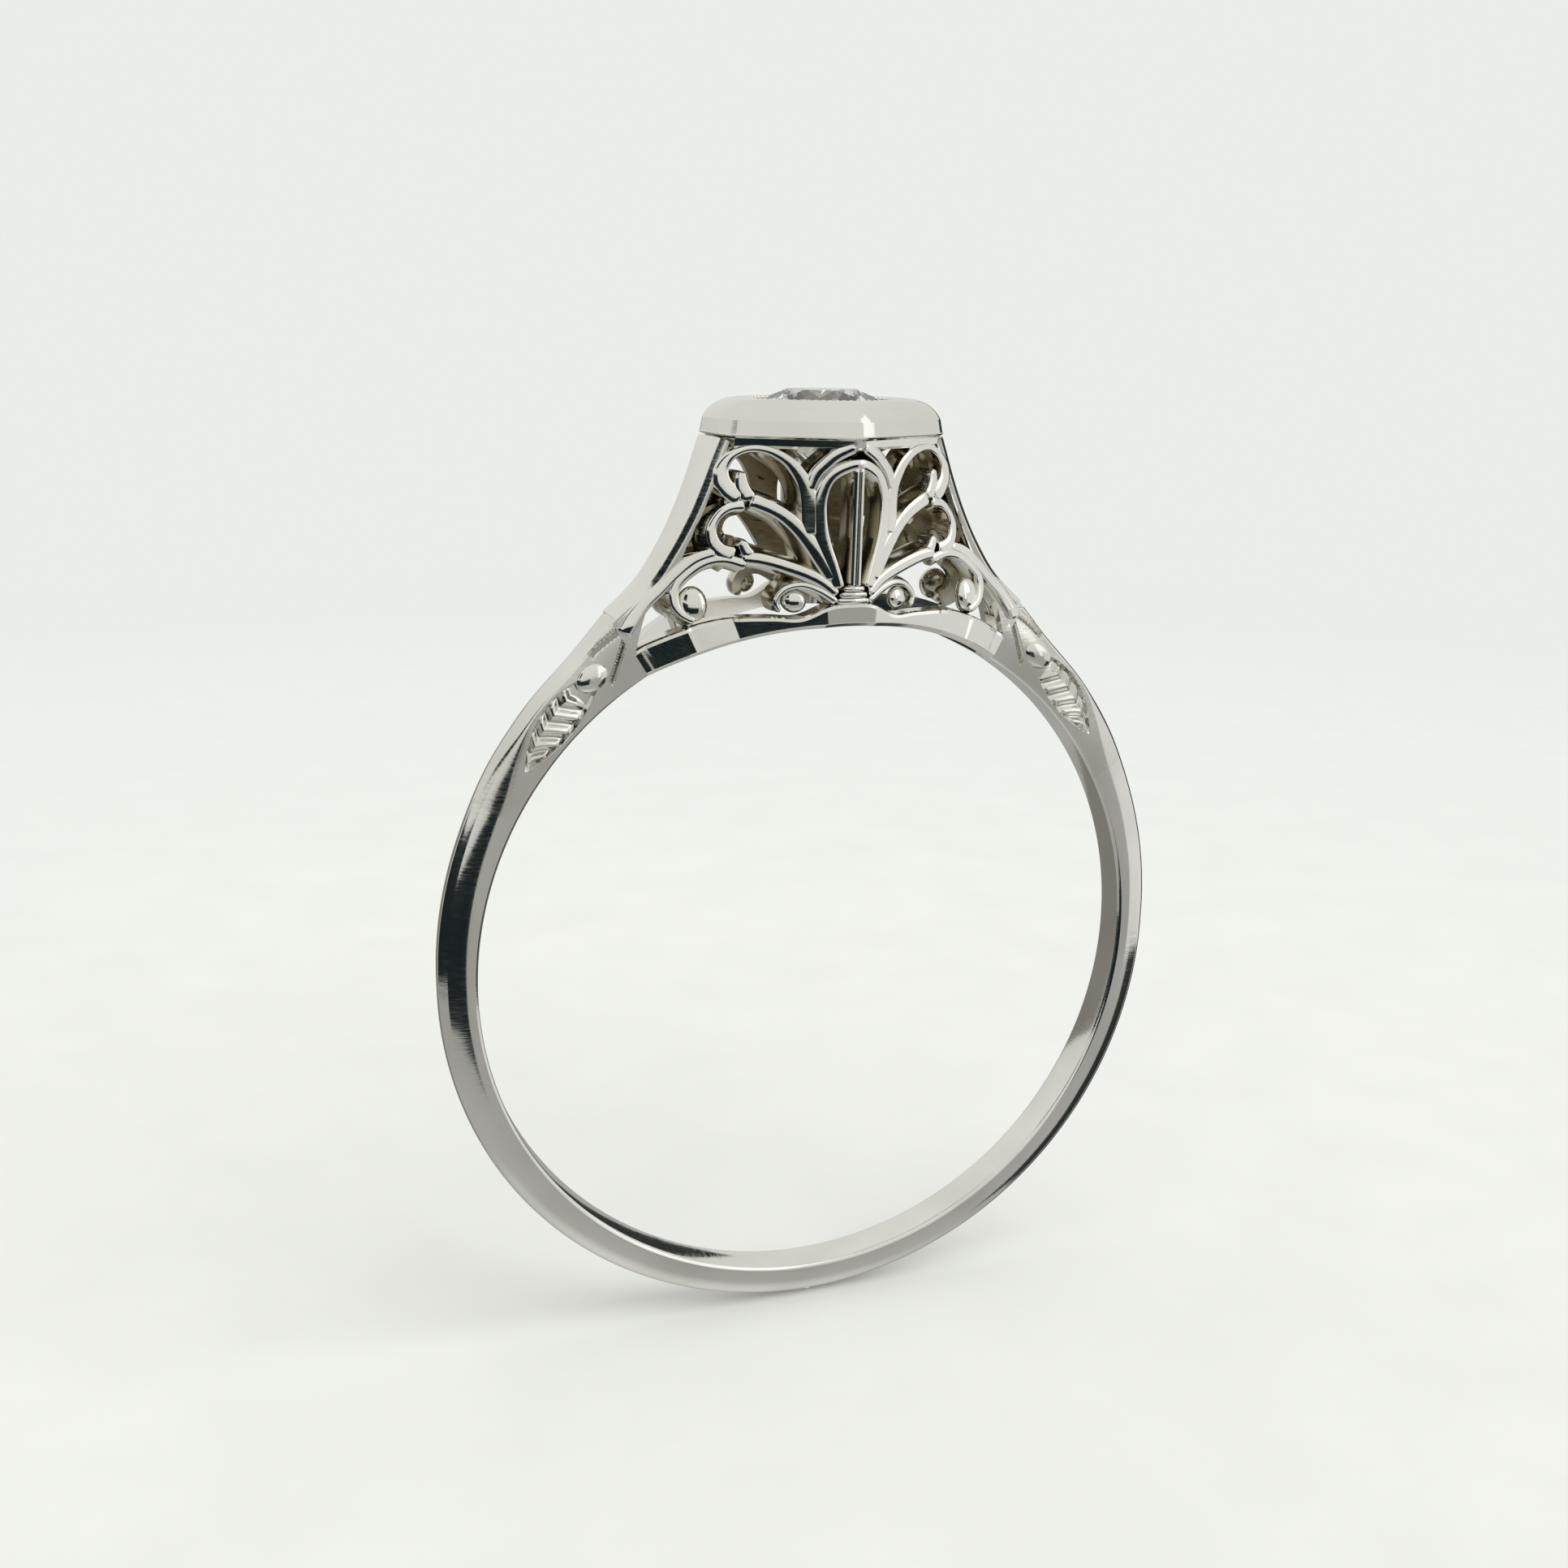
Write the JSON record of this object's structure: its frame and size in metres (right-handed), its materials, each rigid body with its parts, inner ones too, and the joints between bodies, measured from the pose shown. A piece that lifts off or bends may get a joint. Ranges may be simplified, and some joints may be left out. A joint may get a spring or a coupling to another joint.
{
  "type": "engagement ring",
  "caption": "White-metal filigree ring: slim D-section band, wheat-engraved shoulders and a tall hexagonal head of pierced leaves and scrolls holding a round diamond.",
  "frame": {"origin": "centre of the finger hole, on the ring's middle plane", "axes": "+Z towards the stone, Y along the finger hole's axis with -Y the pictured front, +X to the right seen from the front"},
  "size_m": [0.0188, 0.0054, 0.0232],
  "materials": {
    "band_metal": "polished white gold",
    "shoulder_metal": "polished white gold, engraved and slightly worn",
    "gallery_metal": "polished white gold, darker in the recesses",
    "collar_metal": "high polish white gold",
    "plate_metal": "bright cut white gold",
    "diamond": "faceted and polished, colourless"
  },
  "bodies": {
    "root": {"shank": "band_metal", "shoulder_left": "shoulder_metal", "shoulder_right": "shoulder_metal", "side_panel_left": "gallery_metal", "side_panel_right": "gallery_metal", "post_front_left": "gallery_metal", "post_front_right": "gallery_metal", "post_back_left": "gallery_metal", "post_back_right": "gallery_metal", "rail_front": "collar_metal", "rail_back": "collar_metal", "collar": "collar_metal", "stone_plate": "plate_metal", "grain_1": "plate_metal", "grain_2": "plate_metal", "grain_3": "plate_metal", "grain_4": "plate_metal", "grain_5": "plate_metal", "grain_6": "plate_metal", "centre_diamond": "diamond", "front_lotus_base": "gallery_metal", "front_centre_leaf": "gallery_metal", "front_top_rail": "gallery_metal", "front_midrib": "gallery_metal", "front_left_arch": "gallery_metal", "front_left_upper_leaf": "gallery_metal", "front_left_vein": "gallery_metal", "front_left_lower_leaf": "gallery_metal", "front_left_stem": "gallery_metal", "front_left_scroll": "gallery_metal", "front_left_shoulder_strand": "gallery_metal", "front_left_curl": "gallery_metal", "front_right_arch": "gallery_metal", "front_right_upper_leaf": "gallery_metal", "front_right_vein": "gallery_metal", "front_right_lower_leaf": "gallery_metal", "front_right_stem": "gallery_metal", "front_right_scroll": "gallery_metal", "front_right_shoulder_strand": "gallery_metal", "front_right_curl": "gallery_metal", "back_lotus_base": "gallery_metal", "back_centre_leaf": "gallery_metal", "back_top_rail": "gallery_metal", "back_midrib": "gallery_metal", "back_left_arch": "gallery_metal", "back_left_upper_leaf": "gallery_metal", "back_left_vein": "gallery_metal", "back_left_lower_leaf": "gallery_metal", "back_left_stem": "gallery_metal", "back_left_scroll": "gallery_metal", "back_left_shoulder_strand": "gallery_metal", "back_left_curl": "gallery_metal", "back_right_arch": "gallery_metal", "back_right_upper_leaf": "gallery_metal", "back_right_vein": "gallery_metal", "back_right_lower_leaf": "gallery_metal", "back_right_stem": "gallery_metal", "back_right_scroll": "gallery_metal", "back_right_shoulder_strand": "gallery_metal", "back_right_curl": "gallery_metal"}
  },
  "joints": []
}
